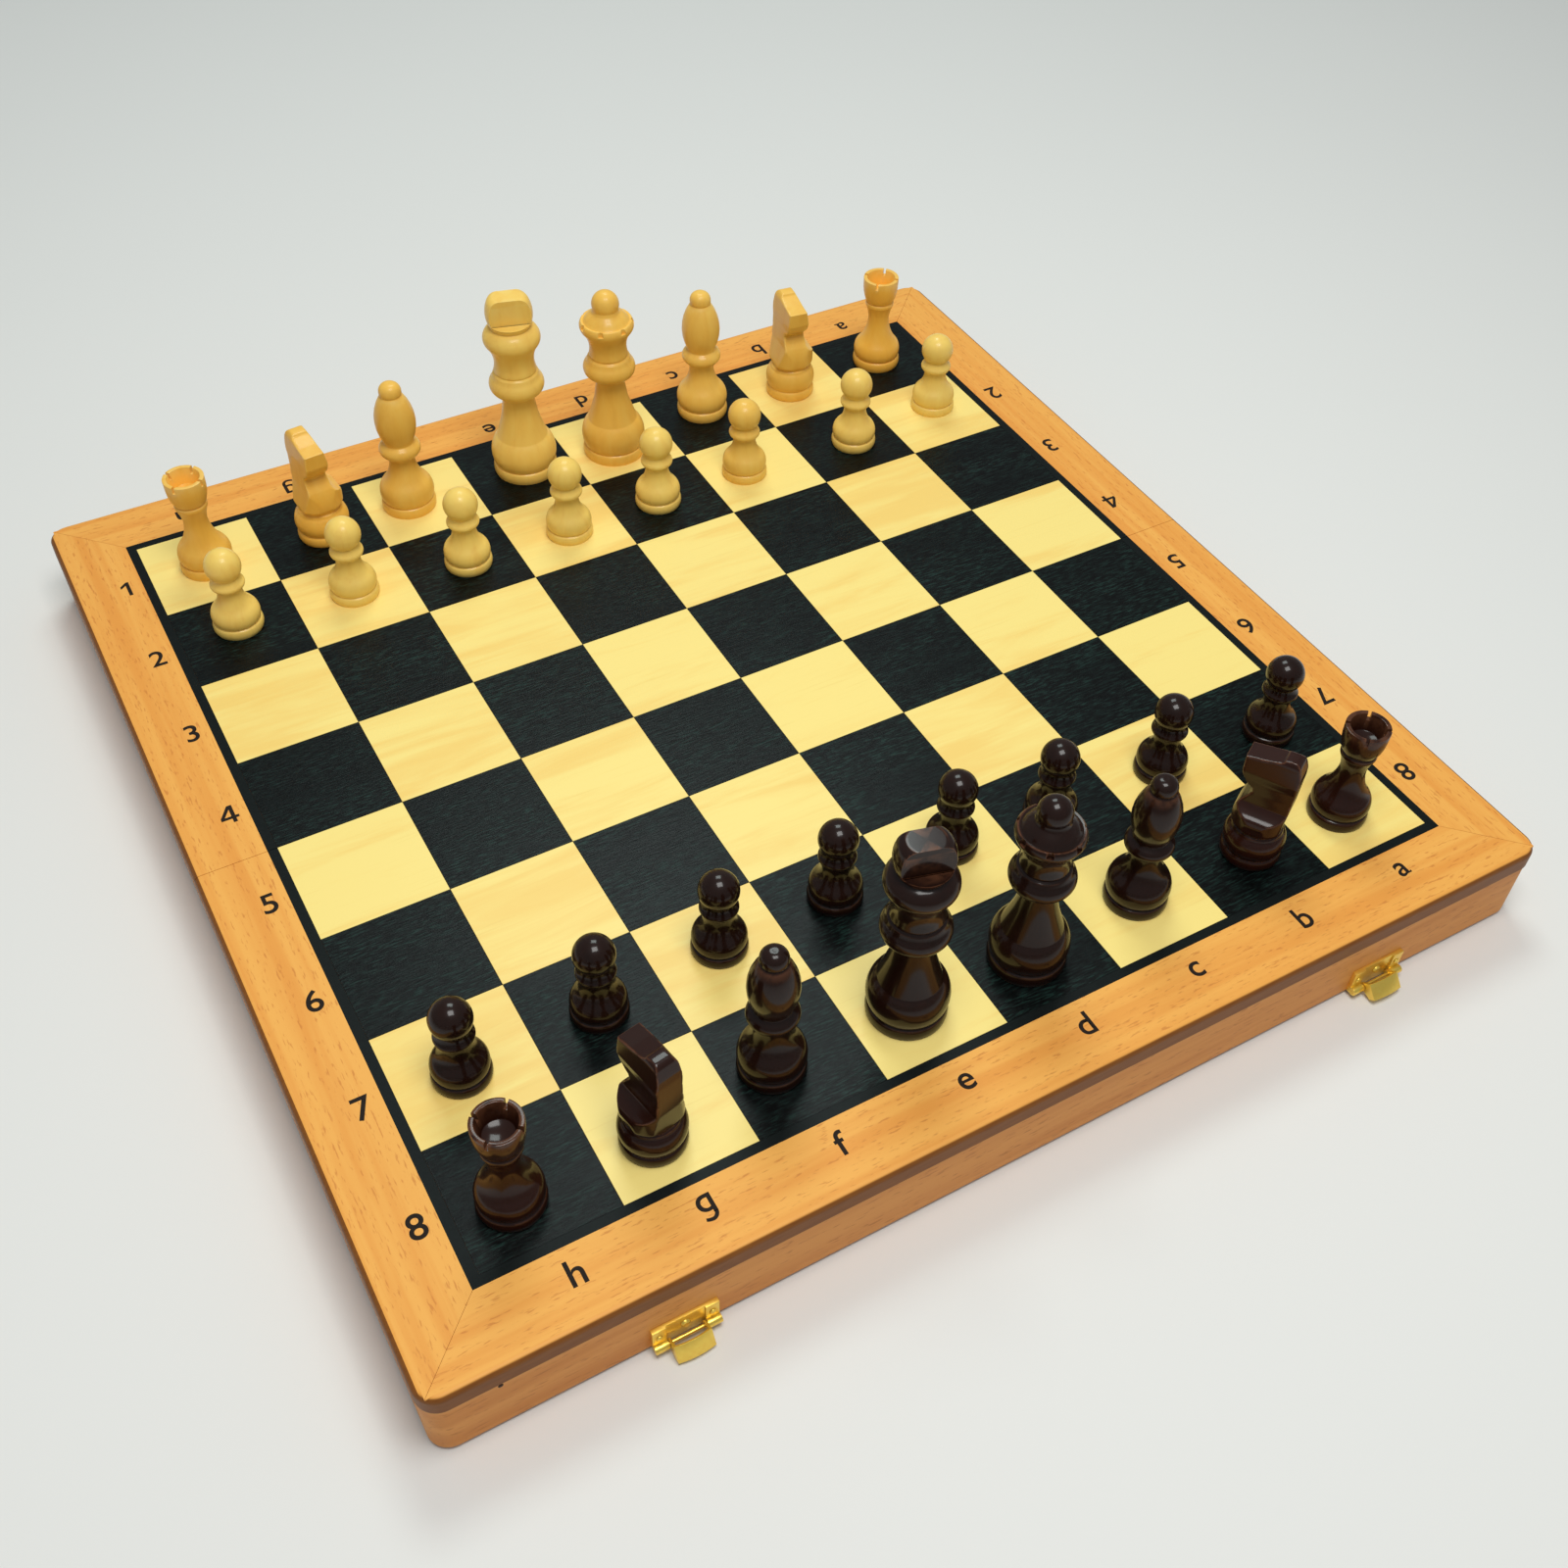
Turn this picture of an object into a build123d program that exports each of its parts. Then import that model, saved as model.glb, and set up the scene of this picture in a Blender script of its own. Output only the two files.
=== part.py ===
from build123d import *
import os
from math import cos, hypot, radians, sin, sqrt

os.makedirs("parts", exist_ok=True)

# Folding chess set, standing open with its men on the starting squares.
# Millimetres. X runs from file h to file a, Y from rank 8 to rank 1, Z is up.
# The origin is under the middle of the fold, on the table.

# Playing field and its border, measured on the top face
square = 42.0
joint_gap = 0.16
line_width = 3.2
rail_width = 21.6
edge_width = 2.2
edge_radius = 2.0
corner_radius = 7.0

# Heights of one half, from the rim up
wall_height = 23.0
board_thickness = 7.0
veneer_thickness = 0.6

# Tray walls under each board
wall_thickness = 9.0
seam_wall_thickness = 8.0
wall_inset = 0.4
seam_gap = 0.2

# Fold hinges, let into the seam walls from below
knuckle_radius = 1.5
knuckle_length = 7.4
knuckle_count = 5
knuckle_gap = 0.2
knuckle_relief = 0.4
fold_pin_radius = 0.6
running_clearance = 0.05
closing_gap = 0.2
hinge_x = 112.0
leaf_width = 7.0
leaf_thickness = 0.7
leaf_clearance = 0.1
screw_head_radius = 1.7
screw_head_angle = 48.0
screw_shank_radius = 0.9
screw_length = 9.0
screw_spacing = 24.0
screw_y = 4.9

# Clasps on the front wall: plate, tabs, pin and lever
clasp_left_x = -122.0
clasp_right_x = 130.0
clasp_width = 20.5
clasp_height = 9.4
sheet = 0.8
tab_width = 4.2
tab_rise = 0.7
rim_margin = 0.3
pivot_out = 2.4
pivot_up = 1.7
clasp_knuckle_radius = 1.4
clasp_pin_radius = 0.6
lever_gap = 0.25
lever_stand_off = 3.4
lever_bow = 0.8
lever_rise = 1.4
lever_lip = 1.5
lever_left_angle = 28.0
lever_right_angle = 40.0

# Catches on the rear wall, which the lever lips snap over
catch_width = 13.0
catch_height = 8.6
catch_corner = 1.0
tongue_length = 8.0
tongue_radius = 0.65
tongue_gap = 0.25
hook_gap = 0.1

# Nails that hold the clasps and the catches
nail_radius = 0.6
nail_length = 7.0
nail_head_radius = 1.1
nail_head_height = 0.5
rivet_head_radius = 1.6
rivet_head_height = 0.9
nail_head_taper = 25.0
nail_up = 5.8
catch_nail_spacing = 8.0

# Men: heights and base radii, then the sizes of what is cut into them
king_height = 76.5
king_base = 12.5
queen_height = 71.5
queen_base = 12.4
bishop_height = 54.8
bishop_base = 10.4
knight_height = 44.8
knight_base = 10.0
rook_height = 40.3
rook_base = 10.0
pawn_height = 33.8
pawn_base = 9.0
lip_undercut = 0.4
band_groove = 0.7
band_swell = 0.13
king_top_thickness = 8.0
king_top_turn = -15.0
king_finial_height = 12.3
king_flat_height = 10.0
queen_ball_radius = 5.3
queen_rim_radius = 10.5
queen_rim_drop = 13.9
queen_notches = 7
queen_notch_turn = 27.0
notch_radius = 1.1
rook_bowl_depth = 6.2
rook_bowl_radius = 5.8
rook_slit = 1.1
rook_slit_depth = 2.5
pawn_ball_radius = 6.4
knight_foot_height = 13.2
knight_drum_radius = 9.2
knight_waist_radius = 7.2

# Derived places
field = 4 * square
line_edge = field + line_width
rail_edge = line_edge + rail_width
half_width = rail_edge + edge_width
rim_z = knuckle_radius + closing_gap / 2
board_z = rim_z + wall_height
top_z = board_z + board_thickness
veneer_z = top_z - veneer_thickness
seam_y = seam_gap / 2
wall_face = half_width - wall_inset
wall_inner = wall_face - wall_thickness
seam_inner = seam_y + seam_wall_thickness
hinge_length = knuckle_count * knuckle_length
hinge_centres = (-hinge_x, hinge_x)
nail_z = rim_z + nail_up
tab_x = (clasp_width - tab_width) / 2
tab_face = sheet + tab_rise
clasps = {"left": (clasp_left_x, lever_left_angle), "right": (clasp_right_x, lever_right_angle)}
halves = {"front": -1, "rear": 1}


def save(part, name):
    """Label one finished piece and write it out."""
    part.label = name
    export_step(part, f"parts/{name}.step")


def on_half(part, half):
    """A piece drawn for the front half, or its mirror image for the rear half."""
    return part if half == "front" else mirror(part, about=Plane.XZ)


# Boards: one panel for each half, its outer edges rounded, sunk on top for the veneers
with BuildPart() as board:
    with BuildSketch(Plane.XY.offset(board_z)) as outline:
        with Locations((0, -(half_width + seam_y) / 2)):
            Rectangle(2 * half_width, half_width - seam_y)
        fillet(outline.vertices().group_by(Axis.Y)[0], corner_radius)
    extrude(amount=board_thickness)
    top_edges = board.faces().sort_by(Axis.Z)[-1].edges()
    fillet(top_edges.sort_by(Axis.Y)[:-1], edge_radius)
    with BuildSketch(Plane.XY.offset(veneer_z)):
        with Locations((0, -(rail_edge + seam_y) / 2)):
            Rectangle(2 * rail_edge, rail_edge - seam_y)
    extrude(amount=veneer_thickness, mode=Mode.SUBTRACT)

for half in halves:
    save(on_half(board.part, half), f"board_{half}")


# Playing squares: veneers laid in the board with a fine joint between them
def square_middles(half, tone):
    """Middles of the sixteen light or dark squares of one half."""
    middles = []
    for column in range(8):
        for row in range(4):
            is_light = (column + row) % 2 == (0 if half == "rear" else 1)
            if is_light == (tone == "light"):
                x = (column - 3.5) * square
                y = halves[half] * (3.5 - row) * square
                middles.append((x, y))
    return middles


for half in halves:
    for tone in ("light", "dark"):
        with BuildPart() as veneer:
            with BuildSketch(Plane.XY.offset(veneer_z)):
                with Locations(*square_middles(half, tone)):
                    Rectangle(square - joint_gap, square - joint_gap)
            extrude(amount=veneer_thickness)
        save(veneer.part, f"{tone}_squares_{half}")

# Black border line round three sides of the half field
with BuildPart() as line:
    with BuildSketch(Plane.XY.offset(veneer_z)):
        with Locations((0, -(line_edge + seam_y) / 2)):
            Rectangle(2 * line_edge, line_edge - seam_y)
        with Locations((0, -field / 2)):
            Rectangle(2 * field, field, mode=Mode.SUBTRACT)
    extrude(amount=veneer_thickness)

for half in halves:
    save(on_half(line.part, half), f"border_line_{half}")

# Frame rails that carry the letters and numbers: three strips, mitred at the corners
mitre_inset = joint_gap / 2
with BuildPart() as rails:
    with BuildSketch(Plane.XY.offset(veneer_z)):
        with Locations((0, -(rail_edge + seam_y) / 2)):
            Rectangle(2 * rail_edge, rail_edge - seam_y)
        with Locations((0, -line_edge / 2)):
            Rectangle(2 * line_edge, line_edge, mode=Mode.SUBTRACT)
        for side in (-1, 1):
            with BuildLine():
                Polyline(
                    (side * (rail_edge - mitre_inset), -rail_edge),
                    (side * rail_edge, -rail_edge),
                    (side * rail_edge, -rail_edge + mitre_inset),
                    (side * line_edge, -line_edge + mitre_inset),
                    (side * line_edge, -line_edge),
                    (side * (line_edge - mitre_inset), -line_edge),
                    close=True,
                )
            make_face(mode=Mode.SUBTRACT)
    extrude(amount=veneer_thickness)

for half in halves:
    save(on_half(rails.part, half), f"rails_{half}")

# End walls, under the outer edge of each half, bored for the nails driven into them
wall_plane = Plane(origin=(0, -wall_face, 0), x_dir=(1, 0, 0), z_dir=(0, -1, 0))
clasp_nail_spots = [(x + dx, nail_z) for x, angle in clasps.values() for dx in (-tab_x, tab_x)]
rivet_spots = [(x, nail_z) for x, angle in clasps.values()]
catch_nail_spots = []
for x, angle in clasps.values():
    catch_nail_spots += [(x - catch_nail_spacing / 2, nail_z), (x + catch_nail_spacing / 2, nail_z)]
tab_nail_depth = nail_length - tab_face
flat_nail_depth = nail_length - sheet


def end_wall(holes):
    """One end wall drawn at the front, with holes as (spots, depth) pairs."""
    with BuildPart() as wall:
        with BuildSketch(Plane.XY.offset(rim_z)) as outline:
            with Locations((0, -(wall_face + wall_inner) / 2)):
                Rectangle(2 * wall_face, wall_thickness)
            fillet(outline.vertices().group_by(Axis.Y)[0], corner_radius - wall_inset)
        extrude(amount=wall_height)
        for spots, depth in holes:
            with BuildSketch(wall_plane):
                with Locations(*spots):
                    Circle(nail_radius)
            extrude(amount=-depth, mode=Mode.SUBTRACT)
    return wall.part


front_holes = [(clasp_nail_spots, tab_nail_depth), (rivet_spots, flat_nail_depth)]
rear_holes = [(catch_nail_spots, flat_nail_depth)]
save(on_half(end_wall(front_holes), "front"), "end_wall_front")
save(on_half(end_wall(rear_holes), "rear"), "end_wall_rear")

# Side walls, butted between the end wall and the fold
with BuildPart() as side_walls:
    with BuildSketch(Plane.XY.offset(rim_z)):
        middle_x = (wall_face + wall_inner) / 2
        middle_y = -(wall_inner + seam_y) / 2
        with Locations((-middle_x, middle_y), (middle_x, middle_y)):
            Rectangle(wall_thickness, wall_inner - seam_y)
    extrude(amount=wall_height)

for half in halves:
    save(on_half(side_walls.part, half), f"side_walls_{half}")

# Seam walls, let in between the side walls, cut away for knuckles, leaves and screws
relief = knuckle_radius + knuckle_relief
cut_length = hinge_length + 2 * leaf_clearance
leaf_cut = leaf_width + leaf_clearance
with BuildPart() as seam_wall:
    with BuildSketch(Plane.XY.offset(rim_z)):
        with Locations((0, -(seam_y + seam_inner) / 2)):
            Rectangle(2 * wall_inner, seam_wall_thickness)
    extrude(amount=wall_height)
    for depth_y, depth_z in ((relief, relief), (leaf_cut, leaf_thickness)):
        with BuildSketch(Plane.XY.offset(rim_z)):
            with Locations(*[(x, -depth_y / 2) for x in hinge_centres]):
                Rectangle(cut_length, depth_y)
        extrude(amount=depth_z, mode=Mode.SUBTRACT)
    with BuildSketch(Plane.XY.offset(rim_z)):
        with Locations(*[(x, -screw_y) for x in hinge_centres]):
            with GridLocations(screw_spacing, 0, 2, 1):
                Circle(screw_shank_radius)
    extrude(amount=screw_length, mode=Mode.SUBTRACT)

for half in halves:
    save(on_half(seam_wall.part, half), f"seam_wall_{half}")


# Fold hinges: each has a front leaf with three knuckles, a rear leaf with two, and a pin
def hinge_leaves(first, bore_radius):
    """The leaves of both hinges that own every second knuckle, counted from first."""
    leaf_start = knuckle_radius + leaf_clearance
    with BuildPart() as leaves:
        with BuildSketch(Plane.XY.offset(rim_z)):
            with Locations(*[(x, -(leaf_start + leaf_width) / 2) for x in hinge_centres]):
                Rectangle(hinge_length, leaf_width - leaf_start)
            with Locations(*[(x, -screw_y) for x in hinge_centres]):
                with GridLocations(screw_spacing, 0, 2, 1):
                    Circle(screw_shank_radius, mode=Mode.SUBTRACT)
        extrude(amount=leaf_thickness)
        for x in hinge_centres:
            for knuckle in range(first, knuckle_count, 2):
                start = x - hinge_length / 2 + knuckle * knuckle_length + knuckle_gap / 2
                end_plane = Plane(origin=(start, 0, knuckle_radius), x_dir=(0, 1, 0), z_dir=(1, 0, 0))
                web_z = rim_z + leaf_thickness / 2 - knuckle_radius
                with BuildSketch(end_plane):
                    Circle(knuckle_radius)
                    with Locations((-leaf_start / 2 - leaf_clearance, web_z)):
                        Rectangle(leaf_start + 2 * leaf_clearance, leaf_thickness)
                    Circle(bore_radius, mode=Mode.SUBTRACT)
                extrude(amount=knuckle_length - knuckle_gap)
        with BuildSketch(Plane.XY.offset(rim_z)):
            with Locations(*[(x, -screw_y) for x in hinge_centres]):
                with GridLocations(screw_spacing, 0, 2, 1):
                    Circle(screw_head_radius)
        extrude(amount=leaf_thickness, taper=screw_head_angle, mode=Mode.SUBTRACT)
    return leaves.part


save(on_half(hinge_leaves(0, fold_pin_radius), "front"), "hinge_leaves_front")
save(on_half(hinge_leaves(1, fold_pin_radius + running_clearance), "rear"), "hinge_leaves_rear")

with BuildPart() as fold_pins:
    for x in hinge_centres:
        start = x - (hinge_length - knuckle_gap) / 2
        with BuildSketch(Plane(origin=(start, 0, knuckle_radius), z_dir=(1, 0, 0))):
            Circle(fold_pin_radius)
        extrude(amount=hinge_length - knuckle_gap)
save(fold_pins.part, "hinge_pins")

with BuildPart() as screws:
    for radius, length, taper in (
        (screw_head_radius, leaf_thickness, screw_head_angle),
        (screw_shank_radius, screw_length, 0),
    ):
        with BuildSketch(Plane.XY.offset(rim_z)):
            with Locations(*[(x, -screw_y) for x in hinge_centres]):
                with GridLocations(screw_spacing, 0, 2, 1):
                    Circle(radius)
        extrude(amount=length, taper=taper)

for half in halves:
    save(on_half(screws.part, half), f"hinge_screws_{half}")

# Clasps: a stamped plate with two raised tabs, whose feet are rolled round a pin
pivot_y = -(wall_face + pivot_out)
pivot_z = rim_z + pivot_up
plate_z = rim_z + rim_margin + clasp_height / 2

with BuildPart() as clasp_plates:
    for x, angle in clasps.values():
        with BuildSketch(wall_plane):
            with Locations((x, plate_z)):
                Rectangle(clasp_width, clasp_height)
        extrude(amount=sheet)
        with BuildSketch(wall_plane):
            with Locations((x - tab_x, plate_z), (x + tab_x, plate_z)):
                Rectangle(tab_width, clasp_height)
        extrude(amount=tab_face)
        for tab in (x - tab_x, x + tab_x):
            tab_plane = Plane(origin=(tab - tab_width / 2, pivot_y, pivot_z), z_dir=(1, 0, 0))
            with BuildSketch(tab_plane):
                Circle(clasp_knuckle_radius)
            extrude(amount=tab_width)
            with BuildSketch(tab_plane):
                Circle(clasp_pin_radius)
            extrude(amount=tab_width, mode=Mode.SUBTRACT)
    with BuildSketch(wall_plane):
        with Locations(*clasp_nail_spots, *rivet_spots):
            Circle(nail_radius)
    extrude(amount=tab_face, mode=Mode.SUBTRACT)
save(clasp_plates.part, "clasp_plates")

with BuildPart() as clasp_pins:
    for x, angle in clasps.values():
        with BuildSketch(Plane(origin=(x - clasp_width / 2, pivot_y, pivot_z), z_dir=(1, 0, 0))):
            Circle(clasp_pin_radius)
        extrude(amount=clasp_width)
save(clasp_pins.part, "clasp_pins")

# Nails through the tabs and a domed rivet in the middle of each clasp plate
with BuildPart() as clasp_nails:
    for spots, out, head_radius, head_height in (
        (clasp_nail_spots, tab_face, nail_head_radius, nail_head_height),
        (rivet_spots, sheet, rivet_head_radius, rivet_head_height),
    ):
        with BuildSketch(wall_plane.offset(out)):
            with Locations(*spots):
                Circle(nail_radius)
        extrude(amount=-nail_length)
        with BuildSketch(wall_plane.offset(out)):
            with Locations(*spots):
                Circle(head_radius)
        extrude(amount=head_height, taper=nail_head_taper)
save(clasp_nails.part, "clasp_nails")

# Levers: a bowed face, a lip that hooks under the catch and two cheeks on the pin
lever_width = clasp_width - 2 * tab_width - 2 * lever_gap
tongue_drop = pivot_up + closing_gap + tongue_gap + tongue_radius
lever_reach = tongue_drop + tongue_radius + hook_gap + sheet
face_in = -lever_stand_off
face_out = face_in - sheet
lip_end = face_in + lever_lip


def lever(x, angle):
    """One lever, swung out from the wall by an angle about its pin."""
    tilt = radians(angle)
    face_plane = Plane(origin=(x, pivot_y, pivot_z), x_dir=(1, 0, 0), z_dir=(0, sin(tilt), cos(tilt)))
    cheek_plane = Plane(origin=(x, pivot_y, pivot_z), x_dir=face_plane.y_dir, z_dir=(1, 0, 0))
    half = lever_width / 2
    with BuildPart() as hasp:
        with BuildSketch(face_plane.offset(-lever_reach)):
            with BuildLine():
                ThreePointArc((-half, face_out), (0, face_out - lever_bow), (half, face_out))
                Line((half, face_out), (half, face_in))
                ThreePointArc((half, face_in), (0, face_in - lever_bow), (-half, face_in))
                Line((-half, face_in), (-half, face_out))
            make_face()
        extrude(amount=lever_reach + lever_rise)
        with BuildSketch(face_plane.offset(-lever_reach)):
            with BuildLine():
                ThreePointArc((-half, face_in), (0, face_in - lever_bow), (half, face_in))
                Polyline((half, face_in), (half, lip_end), (-half, lip_end), (-half, face_in))
            make_face()
        extrude(amount=sheet)
        for start in (-half, half - sheet):
            eye = clasp_knuckle_radius
            with BuildSketch(cheek_plane.offset(start)):
                with BuildLine():
                    Polyline(
                        (lip_end, -lever_reach), (face_out, -lever_reach), (face_out, lever_rise), (0, eye),
                    )
                    ThreePointArc((0, eye), (eye, 0), (0, -eye))
                    Line((0, -eye), (lip_end, -lever_reach))
                make_face()
            extrude(amount=sheet)
        with BuildSketch(cheek_plane.offset(-half)):
            Circle(clasp_pin_radius + running_clearance)
        extrude(amount=lever_width, mode=Mode.SUBTRACT)
    return hasp.part


for name, (x, angle) in clasps.items():
    save(lever(x, angle), f"clasp_lever_{name}")

# Catches: a nailed plate with a round-edged tongue, just inside the lips' path
lip_path = hypot(lip_end, lever_reach - sheet)
tongue_past_pin = sqrt((lip_path - tongue_gap - tongue_radius) ** 2 - tongue_drop ** 2)
tongue_out = pivot_out + tongue_past_pin
tongue_z = rim_z + tongue_gap + tongue_radius
catch_z = rim_z + rim_margin + catch_height / 2

with BuildPart() as catches:
    for x, angle in clasps.values():
        with BuildSketch(wall_plane):
            with Locations((x, catch_z)):
                RectangleRounded(catch_width, catch_height, catch_corner)
        extrude(amount=sheet)
        edge_plane = Plane(
            origin=(x - tongue_length / 2, -wall_face, tongue_z),
            x_dir=(0, -1, 0),
            z_dir=(-1, 0, 0),
        )
        with BuildSketch(edge_plane):
            with Locations((tongue_out / 2, 0)):
                Rectangle(tongue_out, 2 * tongue_radius)
            with Locations((tongue_out, 0)):
                Circle(tongue_radius)
        extrude(amount=-tongue_length)
    with BuildSketch(wall_plane):
        with Locations(*catch_nail_spots):
            Circle(nail_radius)
    extrude(amount=sheet, mode=Mode.SUBTRACT)
save(on_half(catches.part, "rear"), "catch_plates")

with BuildPart() as catch_nails:
    with BuildSketch(wall_plane.offset(sheet)):
        with Locations(*catch_nail_spots):
            Circle(nail_radius)
    extrude(amount=-nail_length)
    with BuildSketch(wall_plane.offset(sheet)):
        with Locations(*catch_nail_spots):
            Circle(nail_head_radius)
    extrude(amount=nail_head_height, taper=nail_head_taper)
save(on_half(catch_nails.part, "rear"), "catch_nails")


# Men. Each outline is (radius, height), turned on its axis. The foot is measured up from
# the board and the head down from the top, so the cone between them takes a change of height
def foot(base, lip, draw_in, band_top):
    """The shared foot: a lip, a groove, a band that draws in and a fine step."""
    groove_radius = base - band_groove - lip_undercut
    band_start = (base - band_groove, lip + band_groove)
    band_end = (base - draw_in, band_top)
    step = (base - draw_in - band_groove, band_top + band_groove)
    Line((0, 0), (base - lip_undercut, 0))
    ThreePointArc((base - lip_undercut, 0), (base, lip / 2), (base - lip_undercut, lip))
    Polyline((base - lip_undercut, lip), (groove_radius, lip + band_groove / 2), band_start)
    SagittaArc(band_start, band_end, -band_swell * (band_top - lip))
    Line(band_end, step)
    return step


def dome(start, top):
    """A cap of a ball whose middle is on the axis, from its rim up to its top."""
    radius, low = start
    rise = top - low
    ball = (radius ** 2 + rise ** 2) / (2 * rise)
    half_way = radius / 2
    ThreePointArc(start, (half_way, top - ball + sqrt(ball ** 2 - half_way ** 2)), (0, top))


def ball(neck_radius, ball_radius, top):
    """A ball on top of a neck; returns where the neck meets it."""
    middle = top - ball_radius
    neck = (neck_radius, middle - sqrt(ball_radius ** 2 - neck_radius ** 2))
    ThreePointArc(neck, (ball_radius, middle), (0, top))
    return neck


def king_outline():
    top = king_height
    finial = top - king_finial_height
    step = foot(king_base, 4.2, 2.0, 15.8)
    SagittaArc(step, (5.8, top - 41.5), 0.7)
    Line((5.8, top - 41.5), (9.2, top - 39.9))
    ThreePointArc((9.2, top - 39.9), (10.6, top - 37.0), (9.5, top - 33.9))
    Polyline((9.5, top - 33.9), (9.0, top - 33.1), (8.7, top - 31.9), (7.9, top - 31.3), (8.2, top - 30.5))
    ThreePointArc((8.2, top - 30.5), (7.8, top - 25.0), (10.3, top - 19.1))
    ThreePointArc((10.3, top - 19.1), (10.9, top - 17.0), (10.2, top - 14.6))
    ThreePointArc((10.2, top - 14.6), (9.4, top - 13.4), (8.2, finial - 0.4))
    Polyline((8.2, finial - 0.4), (7.3, finial), (7.9, finial + 0.8))
    ThreePointArc((7.9, finial + 0.8), (8.9, top - 6.3), (8.0, top - 2.2))
    ThreePointArc((8.0, top - 2.2), (7.2, top - 0.6), (5.6, top))
    Line((5.6, top), (0, top))
    return top


def queen_outline():
    top = queen_height
    step = foot(queen_base, 4.2, 2.1, 15.4)
    SagittaArc(step, (5.2, top - 36.9), 0.7)
    Line((5.2, top - 36.9), (8.8, top - 35.3))
    ThreePointArc((8.8, top - 35.3), (10.2, top - 32.5), (9.0, top - 29.5))
    Polyline((9.0, top - 29.5), (8.6, top - 28.7), (8.2, top - 27.7), (7.2, top - 27.2), (7.6, top - 26.3))
    ThreePointArc((7.6, top - 26.3), (7.4, top - 21.2), (9.8, top - 16.0))
    ThreePointArc((9.8, top - 16.0), (queen_rim_radius, top - queen_rim_drop), (9.7, top - 11.9))
    Line((9.7, top - 11.9), (8.9, top - 12.2))
    ThreePointArc((8.9, top - 12.2), (7.4, top - 10.1), (5.4, top - 8.6))
    neck = ball(4.9, queen_ball_radius, top)
    Line((5.4, top - 8.6), neck)
    return top


def bishop_outline():
    top = bishop_height
    step = foot(bishop_base, 3.8, 1.7, 12.2)
    SagittaArc(step, (5.0, top - 31.4), 1.1)
    Line((5.0, top - 31.4), (6.9, top - 30.2))
    ThreePointArc((6.9, top - 30.2), (7.85, top - 28.1), (6.8, top - 26.0))
    Polyline((6.8, top - 26.0), (5.6, top - 25.2), (5.8, top - 24.2))
    ThreePointArc((5.8, top - 24.2), (7.65, top - 15.0), (4.5, top - 5.5))
    Polyline((4.5, top - 5.5), (3.8, top - 4.9), (4.2, top - 4.2), (4.2, top - 2.9))
    dome((4.2, top - 2.9), top)
    return top


def rook_outline():
    top = rook_height
    floor = top - rook_bowl_depth
    step = foot(rook_base, 3.8, 1.7, 10.8)
    SagittaArc(step, (4.3, top - 18.3), 0.8)
    SagittaArc((4.3, top - 18.3), (5.6, top - 12.9), 0.2)
    Polyline((5.6, top - 12.9), (5.9, top - 12.3), (5.9, top - 11.1), (5.3, top - 10.6), (6.0, top - 10.0))
    ThreePointArc((6.0, top - 10.0), (6.8, top - 7.6), (7.2, top - 4.3))
    Polyline((7.2, top - 4.3), (7.3, top), (rook_bowl_radius, top), (4.6, floor), (0, floor))
    return floor


def pawn_outline():
    top = pawn_height
    step = foot(pawn_base, 3.4, 1.7, 9.8)
    SagittaArc(step, (4.5, top - 15.8), 0.8)
    Line((4.5, top - 15.8), (5.6, top - 15.1))
    ThreePointArc((5.6, top - 15.1), (6.1, top - 14.0), (5.6, top - 12.9))
    neck = ball(4.6, pawn_ball_radius, top)
    Line((5.6, top - 12.9), neck)
    return top


def knight_foot_outline():
    step = foot(knight_base, 3.8, 1.1, 11.6)
    Polyline(step, (step[0], knight_foot_height), (0, knight_foot_height))
    return knight_foot_height


def turned(outline, x, y):
    """The lathe work of one man, standing on the playing field at (x, y)."""
    with BuildPart() as blank:
        with BuildSketch(Plane(origin=(x, y, top_z), x_dir=(1, 0, 0), z_dir=(0, -1, 0))):
            with BuildLine():
                top = outline()
                Line((0, top), (0, 0))
            make_face()
        revolve(axis=Axis((x, y, 0), (0, 0, 1)))
    return blank.part


def king(x, y, turn):
    """The king's finial is a barrel with two parallel flats sawn on it."""
    with BuildPart() as man:
        add(turned(king_outline, x, y))
        flat_z = top_z + king_height - king_flat_height
        with BuildSketch(Plane(origin=(x, y, flat_z), x_dir=(1, 0, 0), z_dir=(0, 0, 1))):
            with Locations(Location((0, 0), king_top_turn)):
                Rectangle(4 * king_base, 4 * king_base)
                Rectangle(4 * king_base, king_top_thickness, mode=Mode.SUBTRACT)
        extrude(amount=2 * king_flat_height, mode=Mode.SUBTRACT)
    return man.part


def queen(x, y, turn):
    """The queen's crown has small round notches filed in its rim."""
    with BuildPart() as man:
        add(turned(queen_outline, x, y))
        with BuildSketch(Plane.XY.offset(top_z + queen_height - queen_rim_drop)):
            with Locations((x, y)):
                with PolarLocations(queen_rim_radius, queen_notches, queen_notch_turn):
                    Circle(notch_radius)
        extrude(amount=queen_rim_drop, mode=Mode.SUBTRACT)
    return man.part


def rook(x, y, turn):
    """The rook's rim has two narrow saw cuts across it, four slits in all."""
    with BuildPart() as man:
        add(turned(rook_outline, x, y))
        slit_z = top_z + rook_height - rook_slit_depth
        with BuildSketch(Plane(origin=(x, y, slit_z), x_dir=(1, 1, 0), z_dir=(0, 0, 1))):
            Rectangle(4 * rook_base, rook_slit)
            Rectangle(rook_slit, 4 * rook_base)
        extrude(amount=rook_slit_depth, mode=Mode.SUBTRACT)
    return man.part


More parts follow.
